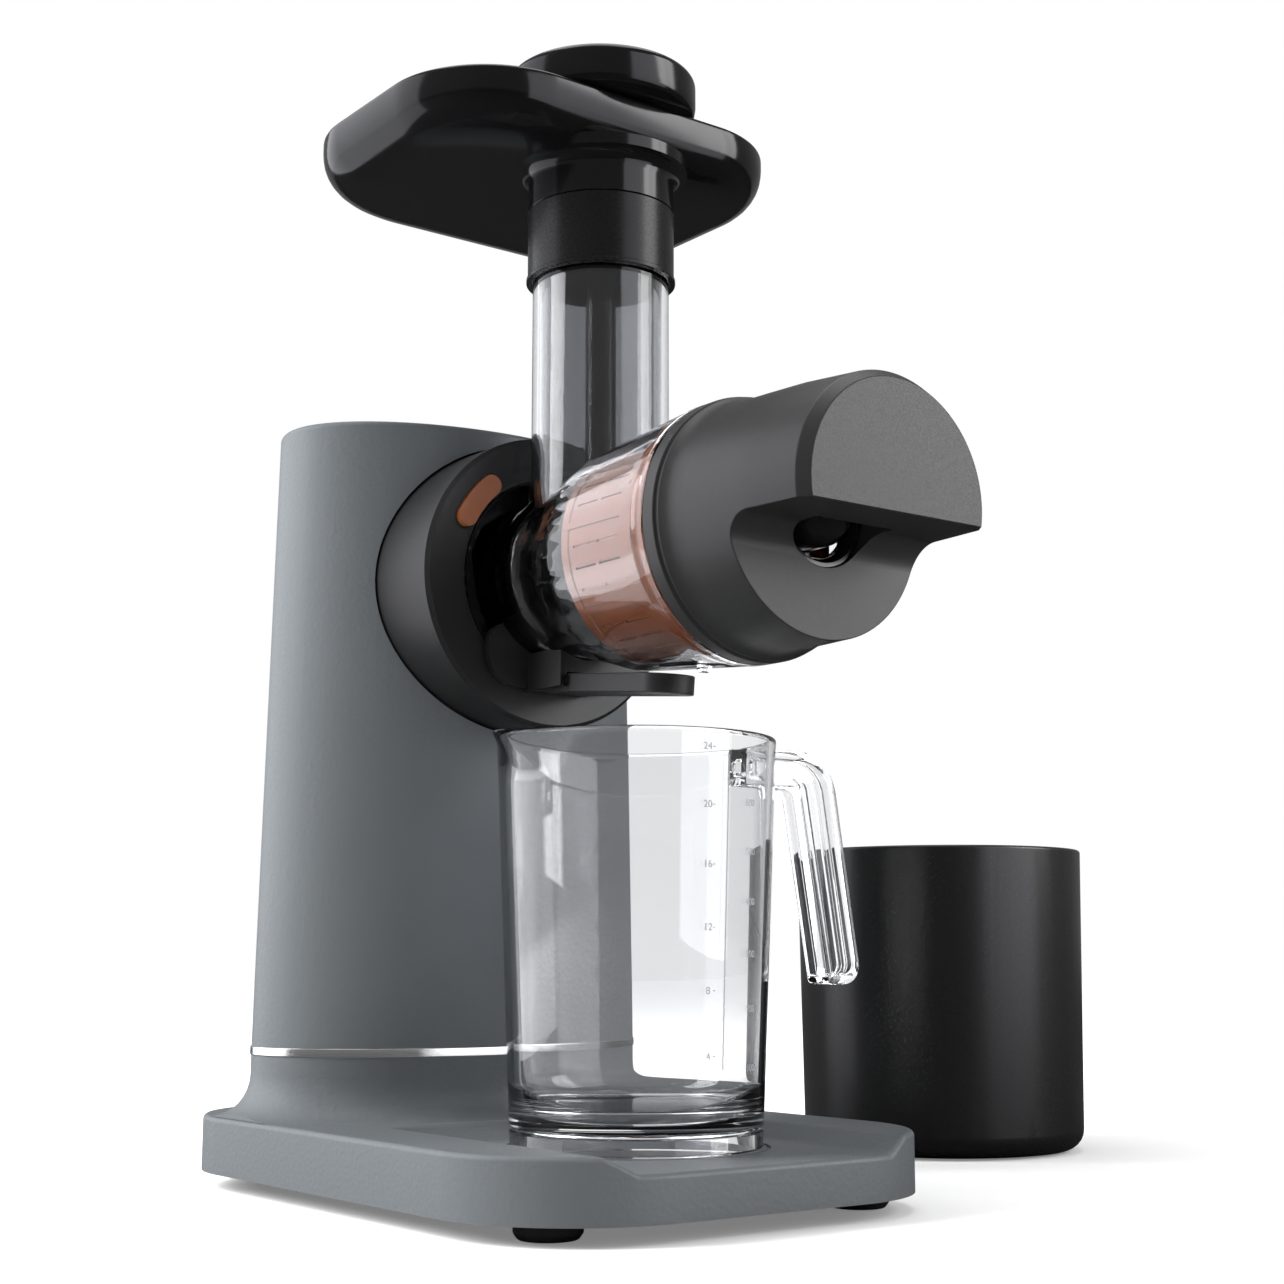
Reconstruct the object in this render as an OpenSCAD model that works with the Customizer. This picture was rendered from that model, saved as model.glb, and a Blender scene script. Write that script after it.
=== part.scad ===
// Horizontal slow juicer with an oval motor tower, a clear pressing chamber,
// a feed tray with pusher, a juice jug and a pulp container.
// X is across, -Y is the front, +Z is up; the origin lies on the floor under the press axis.

/* [Base] */
// half of the base plate's width
base_half = 88; // [80:1:96]
// distance from the origin to the front edge of the base
base_front = 170.6; // [150:0.2:180]
// distance from the origin to the back edge of the base
base_back = 80.3; // [76:0.1:90]
// corner radius of the base in plan
base_r = 50.7; // [40:0.1:56]
// underside of the base above the floor
base_z = 5.6; // [5:0.1:7]
// top of the rim of the base
rim_z = 25.3; // [23:0.1:28]
// floor that the jug stands on
jug_floor_z = 20; // [18:0.1:21]
// wall thickness of the mouldings
wall = 3; // [2.5:0.1:3.5]

/* [Tower] */
// half width of the tower at its foot
tower_a = 78.5; // [74:0.5:82]
// half depth of the tower at its foot
tower_b = 48.1; // [44:0.1:52]
// centre of the tower behind the press axis plane
tower_y = 16.3; // [14:0.1:20]
// bottom of the shell, on top of the bright band
shell_z = 50; // [48:0.5:52]
// top of the tower
tower_top = 276.3; // [270:0.1:282]
// how much narrower the top is than the foot
tower_taper = 0.942; // [0.92:0.002:0.98]
// height of the bright band
band_h = 3; // [2:0.5:4]

/* [Press] */
// height of the press axis
axis_z = 216.2; // [212:0.1:220]
// radius of the hub
hub_r = 53.5; // [50:0.5:56]
// distance from the origin to the hub's front face
hub_front = 50; // [46:0.5:54]
// radius of the drive shaft
shaft_r = 8; // [6:0.5:9]
// outer radius of the chamber's neck
neck_r = 29.8; // [28:0.1:32]
// outer radius of the chamber's barrel at its front end
barrel_r = 42.4; // [40:0.1:44]
// thickness of the clear walls
clear_t = 2.4; // [2:0.1:3]
// front end of the chamber's flange
flange_front = 159.6; // [154:0.1:164]
// outer radius of the feed chute
chute_r = 24.5; // [22:0.5:26]
// distance from the origin to the chute's axis
chute_front = 79.2; // [76:0.1:82]
// front of the pulp face of the end cap
face_front = 196; // [190:0.5:204]
// front of the end cap's hood
hood_front = 228.8; // [222:0.1:234]
// radius of the pulp outlet
outlet_r = 17; // [14:0.5:18]

/* [Tray and pusher] */
// half width of the feed tray
tray_half = 77.8; // [72:0.2:82]
// front edge of the tray
tray_front = 104.1; // [100:0.1:108]
// back edge of the tray, behind the press axis plane
tray_back = 19.2; // [14:0.1:30]
// height of the tray's rim
tray_top = 383; // [376:0.5:388]
// radius of the pusher's knob
knob_r = 34.5; // [30:0.5:36]
// top of the pusher's knob
knob_top = 400; // [394:0.5:404]

/* [Jug and container] */
// distance from the origin to the jug's axis
jug_front = 100.7; // [98:0.1:104]
// outer radius of the jug's foot
jug_foot_r = 41.7; // [38:0.1:43]
// outer radius of the jug's rim
jug_rim_r = 47.3; // [44:0.1:49]
// top of the jug's rim
jug_top = 154.2; // [150:0.1:158]
// wall thickness of the jug
jug_t = 2.2; // [1.8:0.1:3]
// place of the container's axis, to the right of the press
bin_x = 234.5; // [210:0.5:250]
// outer radius of the container's rim
bin_rim_r = 61.9; // [56:0.1:64]
// outer radius of the container's bottom
bin_foot_r = 59.8; // [54:0.1:62]
// height of the container
bin_h = 127.3; // [120:0.1:140]

/* [Gear train] */
// module of the first, second and last gear pair
gear_m = [1, 1.25, 1.5];
// teeth of the small gears: motor pinion, first and second cluster
small_n = [12, 12, 14];
// teeth of the big gears: first and second cluster, output gear
big_n = [54, 44, 50];

/* [Hidden] */
$fn = 72;

slate = [0.36, 0.39, 0.43];
satin_black = [0.13, 0.13, 0.14];
gloss_black = [0.05, 0.05, 0.06];
orange = [0.72, 0.33, 0.14];
clear = [0.85, 0.88, 0.9, 0.4];
steel = [0.7, 0.71, 0.73];
brass = [0.78, 0.62, 0.3];
eps = 0.01;
gap = 0.3;

// running clearance of a shaft in its bush
run_gap = 0.05;
// distances between gear axes, and heights of the gear axes from the motor up
centre = [for (i = [0:2]) gear_m[i] * (small_n[i] + big_n[i]) / 2];
gear_b_z = axis_z - centre[2];
gear_a_z = gear_b_z - centre[1];
motor_z = gear_a_z - centre[0];
// front and back of the three gear layers, in Y
layer = [[0, 5], [-7, -1], [-17, -8]];
gearbox_front = -22;
gearbox_back = 9;
motor_back = 56;
motor_r = 33;
tower_h = tower_top - shell_z;
foot_z = shell_z - band_h;
// outside and mouth of the socket that the chamber's neck goes into
socket_r = 37.6;
mouth_r = 36.75;
socket_back = -30;
// top of the feed chute
chute_top = 357;

// a solid that runs along Y between y0 and y1, drawn in the XZ plane
module along_y(y0, y1)
  translate([0, y1, 0]) rotate([90, 0, 0]) linear_extrude(y1 - y0) children();

// a solid of revolution about the press axis; points are [radius, distance to the front]
module press_spin(points)
  translate([0, 0, axis_z]) rotate([90, 0, 0]) rotate_extrude($fn = 96) polygon(points);

// a solid that runs along X between -w/2 and w/2, drawn in the YZ plane
module along_x(w)
  rotate([90, 0, 90]) translate([0, 0, -w / 2]) linear_extrude(w) children();

// a rectangle with round corners between two corners
module round_rect(x0, y0, x1, y1, r) {
  translate([x0 + r, y0]) square([x1 - x0 - 2 * r, y1 - y0]);
  translate([x0, y0 + r]) square([x1 - x0, y1 - y0 - 2 * r]);
  for (x = [x0 + r, x1 - r], y = [y0 + r, y1 - r]) translate([x, y]) circle(r);
}

module ring(r_out, r_in, h) {
  difference() {
    cylinder(h = h, r = r_out);
    translate([0, 0, -eps]) cylinder(h = h + 2 * eps, r = r_in);
  }
}

// the oval of the tower at its foot, set in by d
module tower_oval(d = 0)
  translate([0, tower_y]) scale([1, (tower_b - d) / (tower_a - d)]) circle(tower_a - d, $fn = 96);

// a gear with straight-sided teeth; first_angle turns the middle of a tooth to that angle
module gear_2d(teeth, m, bore, first_angle) {
  pitch_r = m * teeth / 2;
  root_r = pitch_r - 1.25 * m;
  tip_r = pitch_r + 0.85 * m;
  tooth = 360 / teeth;
  difference() {
    polygon([for (i = [0:teeth - 1]) for (p = [[root_r, -0.29], [tip_r, -0.1], [tip_r, 0.1], [root_r, 0.29]])
      let (a = first_angle + (i + p[1]) * tooth) [p[0] * cos(a), p[0] * sin(a)]]);
    circle(bore, $fn = 48);
  }
}

// angles at which the upper gear of a pair shows a gap to the gear below it
function gap_down(teeth) = -90 + 180 / teeth;

module base_outline(d = 0)
  round_rect(-base_half + d, -base_front + d, base_half - d, base_back - d, base_r - d);

// screw places in the base
screw_at = [[-70, -110], [70, -110], [-70, 40], [70, 40], [0, -150], [0, 66]];

module base_plate() color(slate) {
  channel_low = 50;
  channel_high = 60;
  channel_back = -48;
  foot_hole = tower_a - 12;
  difference() {
    translate([0, 0, base_z]) linear_extrude(rim_z - base_z) base_outline();
    translate([0, 0, base_z - eps]) linear_extrude(jug_floor_z - wall - base_z) base_outline(wall);
    // shallow bay for the jug, open to the front
    translate([0, channel_back, 0]) rotate([90, 0, 0]) linear_extrude(base_front)
      polygon([[-channel_low, jug_floor_z], [channel_low, jug_floor_z],
        [channel_high, rim_z + eps], [-channel_high, rim_z + eps]]);
    // ring groove round the jug's foot
    translate([0, -jug_front, jug_floor_z - 0.8]) ring(jug_foot_r + 2.6, jug_foot_r + 1.2, 1);
    // wiring opening below the tower
    translate([0, tower_y, 0]) cylinder(h = rim_z + 1, r = 34);
  }
  for (p = screw_at) translate([p[0], p[1], base_z + 2.9]) ring(4.5, 1.6, jug_floor_z - wall - base_z - 2.9);
}

module tower_foot() color(slate) {
  // concave sweep of the foot, from the base up to the band
  flare = 15;
  steps = 8;
  inner = tower_a - wall - 2;
  intersection() {
    translate([0, tower_y, 0]) scale([1, tower_b / tower_a, 1]) rotate_extrude($fn = 80)
      polygon(concat([[inner, rim_z]], [for (i = [0:steps]) let (a = 90 * i / steps)
        [tower_a + flare * (1 - sin(a)), rim_z + flare * (1 - cos(a))]],
        [[tower_a, foot_z], [inner, foot_z]]));
    // the sweep stops short of the edge of the base
    translate([0, 0, rim_z - 1]) linear_extrude(60) base_outline(1);
  }
}

module chrome_band() color(steel)
  translate([0, 0, foot_z]) linear_extrude(band_h) difference() {
    tower_oval(-0.4);
    tower_oval(wall);
  }

module bottom_cover() color(satin_black)
  difference() {
    translate([0, 0, base_z]) linear_extrude(2.6) base_outline(wall + gap);
    for (p = screw_at) translate([p[0], p[1], base_z - eps]) cylinder(h = 4, r = 1.6);
    for (x = [-24:8:24]) translate([x - 1.5, 20, base_z - eps]) cube([3, 30, 4]);
  }

module base_screws() color(steel)
  for (p = screw_at) translate([p[0], p[1], base_z]) {
    difference() {
      translate([0, 0, -1.6]) cylinder(h = 1.6, r = 3.2, $fn = 32);
      translate([0, 0, -1.6 - eps]) cylinder(h = 0.9, r = 1.4, $fn = 16);
    }
    cylinder(h = 9, r = 1.5, $fn = 24);
  }

module rubber_feet() color(gloss_black) {
  for (p = [[-62, -140], [62, -140], [-46, 44], [46, 44], [0, 0]])
    translate([p[0], p[1], 0]) {
      cylinder(h = 2, r1 = 9, r2 = 10.5);
      translate([0, 0, 2]) cylinder(h = base_z - 2, r = 10.5);
    }
}

// the tower's oval, set in by d, tapered upwards about the tower's own axis
module tower_solid(d, h)
  translate([0, tower_y, shell_z]) linear_extrude(h, scale = tower_taper)
    translate([0, -tower_y]) tower_oval(d);

switch_mid = 168;
module tower_shell() color(slate) {
  difference() {
    tower_solid(0, tower_h);
    translate([0, 0, -eps]) tower_solid(wall, tower_h - wall);
    // hole for the hub
    translate([0, 0, axis_z]) along_y(-60, 10) circle(hub_r + 0.8, $fn = 96);
    // hole for the switch
    along_y(50, 80) translate([0, switch_mid]) square([20, 29], center = true);
    // hole for the vent and the cord
    along_y(40, 80) translate([0, 84]) square([54, 26], center = true);
    along_y(30, 80) translate([30, 61]) circle(6.2, $fn = 48);
  }
}

module hub_housing() color(satin_black) {
  rear = -8;
  t = 3;
  difference() {
    press_spin([[socket_r + gap, hub_front], [hub_r - 1.4, hub_front], [hub_r, hub_front - 1.4],
      [hub_r, -rear], [hub_r - t, -rear],
      [hub_r - t, hub_front - t], [socket_r + t, hub_front - t], [socket_r + t, -socket_back],
      [socket_r + gap, -socket_back]]);
    // curved window for the release button
    button_cut(gap, -hub_front - 5, -hub_front + 8.6);
    // room for the gearbox at the bottom, inside the tower
    translate([-37, gearbox_front - 1.4, axis_z - 66]) cube([74, 20, 36]);
  }
  // shelf under the button's spring
  translate([0, 0, axis_z]) rotate([0, -button_mid, 0]) translate([button_r + 2.2, -35.4, 0])
    rotate([-90, 0, 0]) ring(5.2, 2, 2.4);
}

button_r = 42.6;
button_mid = 141.5;
button_half = 10.8;
button_w = 3.7;
// curved bar that follows the hub's face, with rounded ends; grown by grow
module button_cut(grow, y0, y1) {
  w = button_w + grow;
  mid = button_mid;
  half = button_half;
  steps = 10;
  arc_out = [for (i = [0:steps]) let (a = mid - half + 2 * half * i / steps)
    (button_r + w) * [cos(a), sin(a)]];
  arc_in = [for (i = [0:steps]) let (a = mid + half - 2 * half * i / steps)
    (button_r - w) * [cos(a), sin(a)]];
  end_a = [for (i = [1:steps - 1]) let (a = mid + half, b = a + 180 * i / steps)
    button_r * [cos(a), sin(a)] + w * [cos(b), sin(b)]];
  end_b = [for (i = [1:steps - 1]) let (a = mid - half, b = a + 180 + 180 * i / steps)
    button_r * [cos(a), sin(a)] + w * [cos(b), sin(b)]];
  along_y(y0, y1) translate([0, axis_z]) polygon(concat(arc_out, end_a, arc_in, end_b));
}

module bayonet_ring() color(gloss_black) {
  groove_r = neck_r + 3.1;
  difference() {
    press_spin([[mouth_r, hub_front + 0.6], [socket_r, hub_front + 0.6], [socket_r, -socket_back],
      [11, -socket_back], [11, 33], [neck_r + 0.4, 33], [neck_r + 0.4, 37.6], [groove_r, 37.6],
      [groove_r, 43.4], [neck_r + 0.4, 43.4], [neck_r + 0.4, 45], [mouth_r, 45]]);
    // entry slots for the lugs of the chamber
    for (a = [27:120:267]) translate([0, 0, axis_z]) rotate([90, 0, 0])
      rotate([0, 0, a]) translate([0, 0, 40]) rotate_extrude(angle = 20)
        translate([neck_r - 1, 0]) square([groove_r - neck_r + 1, 12]);
  }
}

module shaft_seal() color(gloss_black)
  press_spin([[shaft_r + run_gap, 28], [11, 28], [11, 36], [9.4, 36], [9.4, 31], [shaft_r + run_gap, 31]]);

// plan of the gearbox in the XZ plane, grown by g
module gearbox_2d(g) {
  translate([0, axis_z]) circle(41 + g);
  translate([0, gear_b_z]) circle(31 + g);
  translate([0, gear_a_z]) circle(31 + g);
  translate([-31 - g, gear_a_z]) square([2 * (31 + g), gear_b_z - gear_a_z]);
  translate([-31 - g, gear_b_z]) square([2 * (31 + g), 14]);
}

// screw ears round the gearbox
gearbox_screw_at = [for (s = [-1, 1]) for (p = [[30, axis_z + 33.4], [36, axis_z - 27], [25, gear_a_z - 24]])
  [s * p[0], p[1]]];
module gearbox_ears() for (p = gearbox_screw_at) translate(p) circle(4.5, $fn = 32);

module gearbox_plate() color(satin_black)
  difference() {
    along_y(gearbox_front, gearbox_front + 3) {
      gearbox_2d(2.5);
      gearbox_ears();
    }
    along_y(-30, 0) translate([0, axis_z]) circle(12);
    for (z = [gear_a_z, gear_b_z]) along_y(-30, 0) translate([0, z]) circle(3, $fn = 36);
    for (p = gearbox_screw_at) along_y(-30, 0) translate(p) circle(1.6, $fn = 24);
  }

module gearbox_cover() color(satin_black) {
  front = gearbox_front + 3;
  difference() {
    union() {
      along_y(front, gearbox_back) gearbox_2d(2.5);
      along_y(front, front + 12) gearbox_ears();
    }
    along_y(front - eps, gearbox_back - 3) gearbox_2d(0);
    along_y(0, 20) translate([0, axis_z]) circle(12);
    for (z = [gear_a_z, gear_b_z]) along_y(0, 20) translate([0, z]) circle(3, $fn = 36);
    along_y(-2, 20) translate([0, motor_z]) circle(8);
    for (p = gearbox_screw_at) along_y(front - 1, front + 10) translate(p) circle(1.6, $fn = 24);
  }
}

module gearbox_screws() color(steel)
  for (p = gearbox_screw_at) {
    along_y(gearbox_front, gearbox_front + 12) translate(p) circle(1.5, $fn = 24);
    along_y(gearbox_front - 1.8, gearbox_front) translate(p) difference() {
      circle(3, $fn = 32);
      circle(1.2, $fn = 16);
    }
  }

module gear_axles() color(steel)
  for (z = [gear_a_z, gear_b_z]) along_y(gearbox_front, gearbox_back) translate([0, z]) circle(3, $fn = 36);

module shaft_bushes() color(brass) {
  along_y(gearbox_front - 3, gearbox_front + 4) translate([0, axis_z]) difference() {
    circle(12);
    circle(shaft_r + run_gap);
  }
  along_y(3, gearbox_back + 3) translate([0, axis_z]) difference() {
    circle(12);
    circle(shaft_r + run_gap);
  }
  along_y(gearbox_back - 3, gearbox_back) translate([0, motor_z]) difference() {
    circle(8);
    circle(4 + run_gap);
  }
}

module motor_can() color(steel)
  difference() {
    along_y(gearbox_back + 0.5, motor_back - 6) translate([0, motor_z]) circle(motor_r);
    along_y(gearbox_back + 3, motor_back) translate([0, motor_z]) circle(motor_r - 6);
    along_y(0, motor_back) translate([0, motor_z]) circle(5, $fn = 36);
    for (a = [0:60:300]) translate([0, 0, motor_z]) rotate([0, a, 0])
      translate([motor_r - 14, 18, -4]) cube([20, 22, 8]);
  }

module motor_endbell() color(satin_black)
  difference() {
    along_y(motor_back - 6, motor_back) translate([0, motor_z]) circle(motor_r);
    along_y(motor_back - 7, motor_back - 2.5) translate([0, motor_z]) circle(motor_r - 6);
    along_y(0, motor_back + 1) translate([0, motor_z]) circle(4 + run_gap, $fn = 36);
    for (a = [30:60:330]) translate([0, 0, motor_z]) rotate([0, a, 0])
      translate([10, motor_back - 4, -3]) cube([13, 6, 6]);
  }

module motor_cradle() color(satin_black) {
  // floor frame across the tower's foot and a saddle under the motor
  difference() {
    translate([-52, -10, 52]) cube([104, 54, 3]);
    translate([-14, 0, 50]) cube([28, 46, 8]);
  }
  difference() {
    for (y = [14, 40]) translate([-24, y, 55]) cube([48, 6, 30]);
    along_y(0, 60) translate([0, motor_z]) circle(motor_r + 0.02);
  }
}

module carbon_brushes() color(gloss_black)
  for (s = [-1, 1]) translate([s * 19.4 - 7.4, 38, motor_z - 3]) cube([14.8, 6, 6]);

module motor_armature() color(brass)
  difference() {
    union() {
      along_y(15, 35) translate([0, motor_z]) difference() {
        circle(24);
        for (a = [0:30:330]) rotate(a) translate([22, 0]) square([6, 2.4], center = true);
      }
      along_y(36.5, 45.5) translate([0, motor_z]) circle(11.6);
    }
    along_y(0, 60) translate([0, motor_z]) circle(4, $fn = 36);
  }

module motor_shaft() color(steel)
  along_y(-0.5, motor_back + 0.5) translate([0, motor_z]) circle(4, $fn = 36);

module motor_pinion() color(brass)
  along_y(layer[0][0], layer[0][1]) translate([0, motor_z]) gear_2d(small_n[0], gear_m[0], 4, 90);

module cooling_fan() color(gloss_black)
  difference() {
    along_y(46.5, 52) translate([0, motor_z]) union() {
      circle(9, $fn = 36);
      for (a = [0:40:320]) rotate(a) translate([8, -0.9]) square([13, 1.8]);
    }
    along_y(0, 60) translate([0, motor_z]) circle(4, $fn = 36);
  }

// big gear behind, small gear in front, turning loosely on its axle
module cluster_gear(z, i) color(brass) {
  bore = 3 + run_gap;
  along_y(layer[i][0], layer[i][1]) translate([0, z]) gear_2d(big_n[i], gear_m[i], bore, gap_down(big_n[i]));
  along_y(layer[i + 1][0], layer[i][0]) translate([0, z]) gear_2d(small_n[i + 1], gear_m[i + 1], bore, 90);
}

module cluster_gear_a() cluster_gear(gear_a_z, 0);
module cluster_gear_b() cluster_gear(gear_b_z, 1);

module output_gear() color(brass)
  difference() {
    along_y(layer[2][0], layer[2][1]) translate([0, axis_z])
      gear_2d(big_n[2], gear_m[2], shaft_r, gap_down(big_n[2]));
    for (a = [0:60:300]) along_y(-30, 0) translate([0, axis_z]) rotate(a) translate([21, 0]) circle(6, $fn = 32);
  }

drive_hex = 6.6;
module drive_shaft() color(steel) {
  along_y(-48, 14) translate([0, axis_z]) circle(shaft_r);
  along_y(-74, -48) translate([0, axis_z]) circle(drive_hex, $fn = 6);
}

module circuit_board() color([0.1, 0.35, 0.2]) {
  translate([-50, -4, 66]) cube([1.6, 40, 60]);
  translate([-48.4, 2, 74]) cube([12, 14, 12]);
  translate([-48.4, 28, 82]) rotate([0, 90, 0]) cylinder(h = 12, r = 6, $fn = 36);
  translate([-48.4, 22, 104]) rotate([0, 90, 0]) cylinder(h = 10, r = 4, $fn = 36);
  translate([-48.4, 4, 100]) cube([8, 10, 18]);
  // legs down to the floor frame
  for (y = [0, 28]) translate([-50, y, 55]) cube([6, 4, 13]);
}

module switch_housing() color(gloss_black)
  difference() {
    union() {
      along_y(48, 63.4) translate([0, switch_mid]) square([19.4, 28.4], center = true);
      along_y(63.4, 66) translate([0, switch_mid]) round_rect(-12.5, -17, 12.5, 17, 3);
    }
    along_y(52, 70) translate([0, switch_mid]) square([15, 25.6], center = true);
    // seat of the rocker's pivot
    translate([-9.2, 61, switch_mid]) rotate([0, 90, 0]) cylinder(h = 18.4, r = 1.56, $fn = 24);
  }

module power_rocker() color(satin_black) {
  translate([0, 61, switch_mid]) {
    along_x(14.4) polygon([[0, -11], [6.2, -11.3], [4.4, 0], [6.2, 11.3], [0, 11], [-3.2, 0]]);
    translate([-8.9, 0, 0]) rotate([0, 90, 0]) cylinder(h = 17.8, r = 1.5, $fn = 24);
  }
}

module rear_vent() color(satin_black)
  difference() {
    along_y(57, 62.4) translate([0, 84]) square([53.4, 25.4], center = true);
    along_y(50, 60) translate([0, 84]) square([47, 19], center = true);
    for (z = [76:4:92]) along_y(50, 70) translate([0, z]) square([44, 2], center = true);
  }

gland_at = [30, 61];
module cord_gland() color(gloss_black) {
  along_y(50, 64) translate(gland_at) circle(6, $fn = 48);
  along_y(62.6, 66) translate(gland_at) circle(8, $fn = 48);
  translate([gland_at[0], 66, gland_at[1]]) rotate([-90, 0, 0]) cylinder(h = 12, r1 = 6, r2 = 4.4, $fn = 48);
}

module release_button() color(orange) {
  button_cut(0, -hub_front - 2.2, -hub_front + 5.4);
  // stem towards the latch
  translate([0, 0, axis_z]) rotate([0, -button_mid, 0]) translate([button_r + 2.2, -45, 0])
    rotate([-90, 0, 0]) cylinder(h = 17, r = 1.6, $fn = 24);
}

module release_spring() color(steel)
  translate([0, 0, axis_z]) rotate([0, -button_mid, 0]) translate([button_r + 2.2, -44.6, 0])
    rotate([-90, 0, 0]) coil(2.5, 0.35, 9, 5);

// round wire coil along +Z
module coil(r, wire, h, turns) {
  steps = 14;
  for (i = [0:turns - 1]) translate([0, 0, wire + i * (h - 2 * wire) / (turns - 1)])
    rotate_extrude($fn = 24) translate([r, 0]) circle(wire, $fn = 14);
  for (s = [0, 180]) rotate([0, 0, s]) translate([r, 0, wire]) cylinder(h = h - 2 * wire, r = wire * 0.6, $fn = 14);
}

// outside of the chamber: neck, cone up to the crease at the barrel's back, barrel, flange, spigot
shoulder_r = 31.8;
shoulder_front = 78;
barrel_back_r = 38.5;
barrel_back = 103.2;
flange_r = 43;
spigot_r = 40;
module juicing_chamber() color(clear) {
  t = clear_t;
  difference() {
    union() {
      press_spin([[0, 36], [neck_r, 36], [neck_r, 56], [shoulder_r, shoulder_front],
        [barrel_back_r, barrel_back], [barrel_r, 150], [barrel_r, flange_front - 3.2],
        [flange_r, flange_front - 3], [flange_r, flange_front], [spigot_r, flange_front],
        [spigot_r, 167], [0, 167]]);
      translate([0, -chute_front, axis_z + 20]) cylinder(h = chute_top - axis_z - 20, r = chute_r);
      // bayonet lugs
      for (a = [60:120:300]) translate([0, 0, axis_z]) rotate([90, 0, 0])
        rotate([0, 0, a]) translate([0, 0, 38.4]) rotate_extrude(angle = 14)
          translate([neck_r - 1, 0]) square([3.4, 4]);
      // juice outlet under the neck
      translate([0, -drip_front, 179]) cylinder(h = 12, r = 6.6, $fn = 48);
      // small stop lug under the barrel
      translate([-2, -139, axis_z - 42.8]) cube([4, 3, 3.4]);
    }
    press_spin([[0, 58], [neck_r - t, 58], [shoulder_r - t, shoulder_front + 0.4],
      [barrel_back_r - t, barrel_back + 0.4], [barrel_r - t, 150], [barrel_r - t, 152],
      [spigot_r - t, 153], [spigot_r - t, 168], [0, 168]]);
    // bore for the drive shaft, and its recess at the back
    press_spin([[0, 35], [neck_r - t, 35], [neck_r - t, 55], [10.4, 55], [10.4, 60], [0, 60]]);
    translate([0, -chute_front, axis_z]) cylinder(h = chute_top - axis_z + 5, r = chute_r - t);
    translate([0, -drip_front, 170]) cylinder(h = 22, r = 4.6, $fn = 48);
    drip_tilt() translate([-20, -20, -20]) cube([40, 40, 20.3]);
  }
}

// distance from the origin to the juice outlet, and the tilt of the slide below it
drip_front = 61;
drip_slope = 6;
drip_top = 181;
module drip_tilt()
  translate([0, -drip_front, drip_top]) rotate([drip_slope, 0, 0]) children();

module chamber_seal() color(gloss_black)
  press_spin([[7.4, 54], [10.4, 54], [10.4, 58.02], [13.4, 58.02], [13.4, 60], [7.4, 60]]);

module chute_collar() color(gloss_black)
  translate([0, -chute_front, 321]) {
    ring(26.4, chute_r, 26);
    // lip at the bottom
    ring(26.9, chute_r, 1.6);
  }

basket_back = 108;
basket_front = 147;
basket_r = 36.2;
rib_at = 8;
module filter_basket() color(orange)
  difference() {
    union() {
      // drum between two rings, with a spigot ring towards the cap
      press_spin([[35, basket_back], [35.4, basket_back], [basket_r - 0.2, basket_back + 0.8],
        [basket_r - 0.2, basket_back + 4.4], [basket_r - 0.6, basket_back + 4.8],
        [basket_r - 0.6, basket_front - 6.4], [basket_r + 0.3, basket_front - 6],
        [basket_r + 0.3, basket_front], [basket_r, basket_front], [basket_r, basket_front + 12],
        [basket_r - 2.2, basket_front + 12], [basket_r - 2.2, basket_front], [35, basket_front]]);
      // ribs along the drum
      for (i = [0:7]) translate([0, 0, axis_z]) rotate([0, rib_at + 45 * i, 0])
        translate([basket_r - 0.9, -basket_front + 3, -1.1]) cube([0.9, basket_front - basket_back - 5, 2.2]);
    }
    // juice slots, three between each two ribs
    for (row = [basket_back + 7, basket_back + 20], i = [0:31])
      if (i % 4 != 0) translate([0, 0, axis_z]) rotate([0, rib_at + 11.25 * i, 0])
        translate([basket_r - 3, -row - 11, -0.4]) cube([4, 11, 0.8]);
  }

module filter_screen() color([0.6, 0.28, 0.12])
  difference() {
    press_spin([[34.2, basket_back + 1], [34.95, basket_back + 1], [34.95, basket_front], [34.2, basket_front]]);
    for (a = [0:15:345]) translate([0, 0, axis_z]) rotate([90, 0, 0]) rotate([0, 0, a])
      translate([33, -0.5, basket_back + 4]) cube([4, 1, basket_front - basket_back - 8]);
  }

module auger() color(gloss_black) {
  flight_r = 33.4;
  rear_r = neck_r - clear_t - 0.7;
  feed_turn = 330;
  difference() {
    union() {
      press_spin([[0, 62], [rear_r, 62], [rear_r, 66], [16, 70], [17, 100], [24, 150], [16, 172], [11, 184],
        [10.4, 195], [8, 200], [4, 202.4], [0, 203]]);
      // feed flight in the neck and press flight in the filter
      translate([0, -62.5, axis_z]) rotate([90, 0, 0])
        linear_extrude(39.6, twist = feed_turn, slices = 33, $fn = 12) flight_2d(16, rear_r, 5);
      translate([0, -102, axis_z]) rotate([90, 0, 0]) rotate([0, 0, -feed_turn])
        linear_extrude(48.4, twist = 577, slices = 58, $fn = 12) flight_2d(16, flight_r, 4);
    }
    press_spin([[0, 50], [drive_hex + 1.4, 50], [drive_hex + 1.4, 63], [drive_hex + 0.06, 63],
      [drive_hex + 0.06, 75], [0, 75]]);
  }
}

// cross section of one flight, from the core out
module flight_2d(r0, r1, w)
  polygon([[r0 - 6, -w], [r1, -w / 2], [r1, w / 2], [r0 - 6, w]]);

// the plate's outline: small round corners at the top, large ones at the bottom
module drip_plate_2d() hull() {
  for (s = [-1, 1]) {
    translate([s * 24.5, 192.2]) circle(5, $fn = 48);
    translate([s * 17.5, 188.3]) circle(12);
  }
}

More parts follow.
